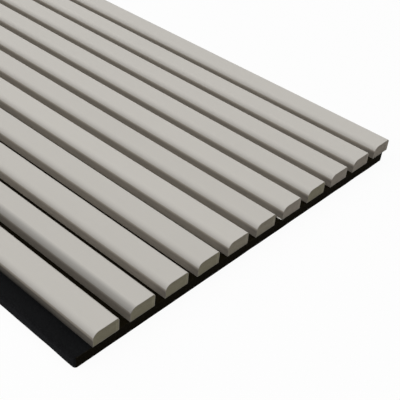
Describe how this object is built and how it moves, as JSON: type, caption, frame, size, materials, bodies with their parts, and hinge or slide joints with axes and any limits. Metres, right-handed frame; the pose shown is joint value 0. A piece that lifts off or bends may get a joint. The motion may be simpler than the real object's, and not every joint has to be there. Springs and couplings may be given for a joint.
{
  "type": "acoustic slat panel",
  "caption": "Flat wall panel of parallel round-edged grey slats on a black felt backing sheet, with a bare felt lip along one side for joining the next panel.",
  "frame": {"origin": "under the middle of the panel's box, on the felt's back face", "axes": "+X along the slats, +Y across them from the bare felt lip to the overhanging last slat, +Z out of the slatted face"},
  "size_m": [2.4, 0.446, 0.025],
  "materials": {
    "felt": "matte black needled polyester felt board",
    "slat": "fibreboard with a matt warm-grey film on its top and rounded edges, bare walls and cut ends"
  },
  "bodies": {
    "root": {"felt_backing": "felt", "slat_01": "slat", "slat_02": "slat", "slat_03": "slat", "slat_04": "slat", "slat_05": "slat", "slat_06": "slat", "slat_07": "slat", "slat_08": "slat", "slat_09": "slat", "slat_10": "slat", "slat_11": "slat"}
  },
  "joints": []
}
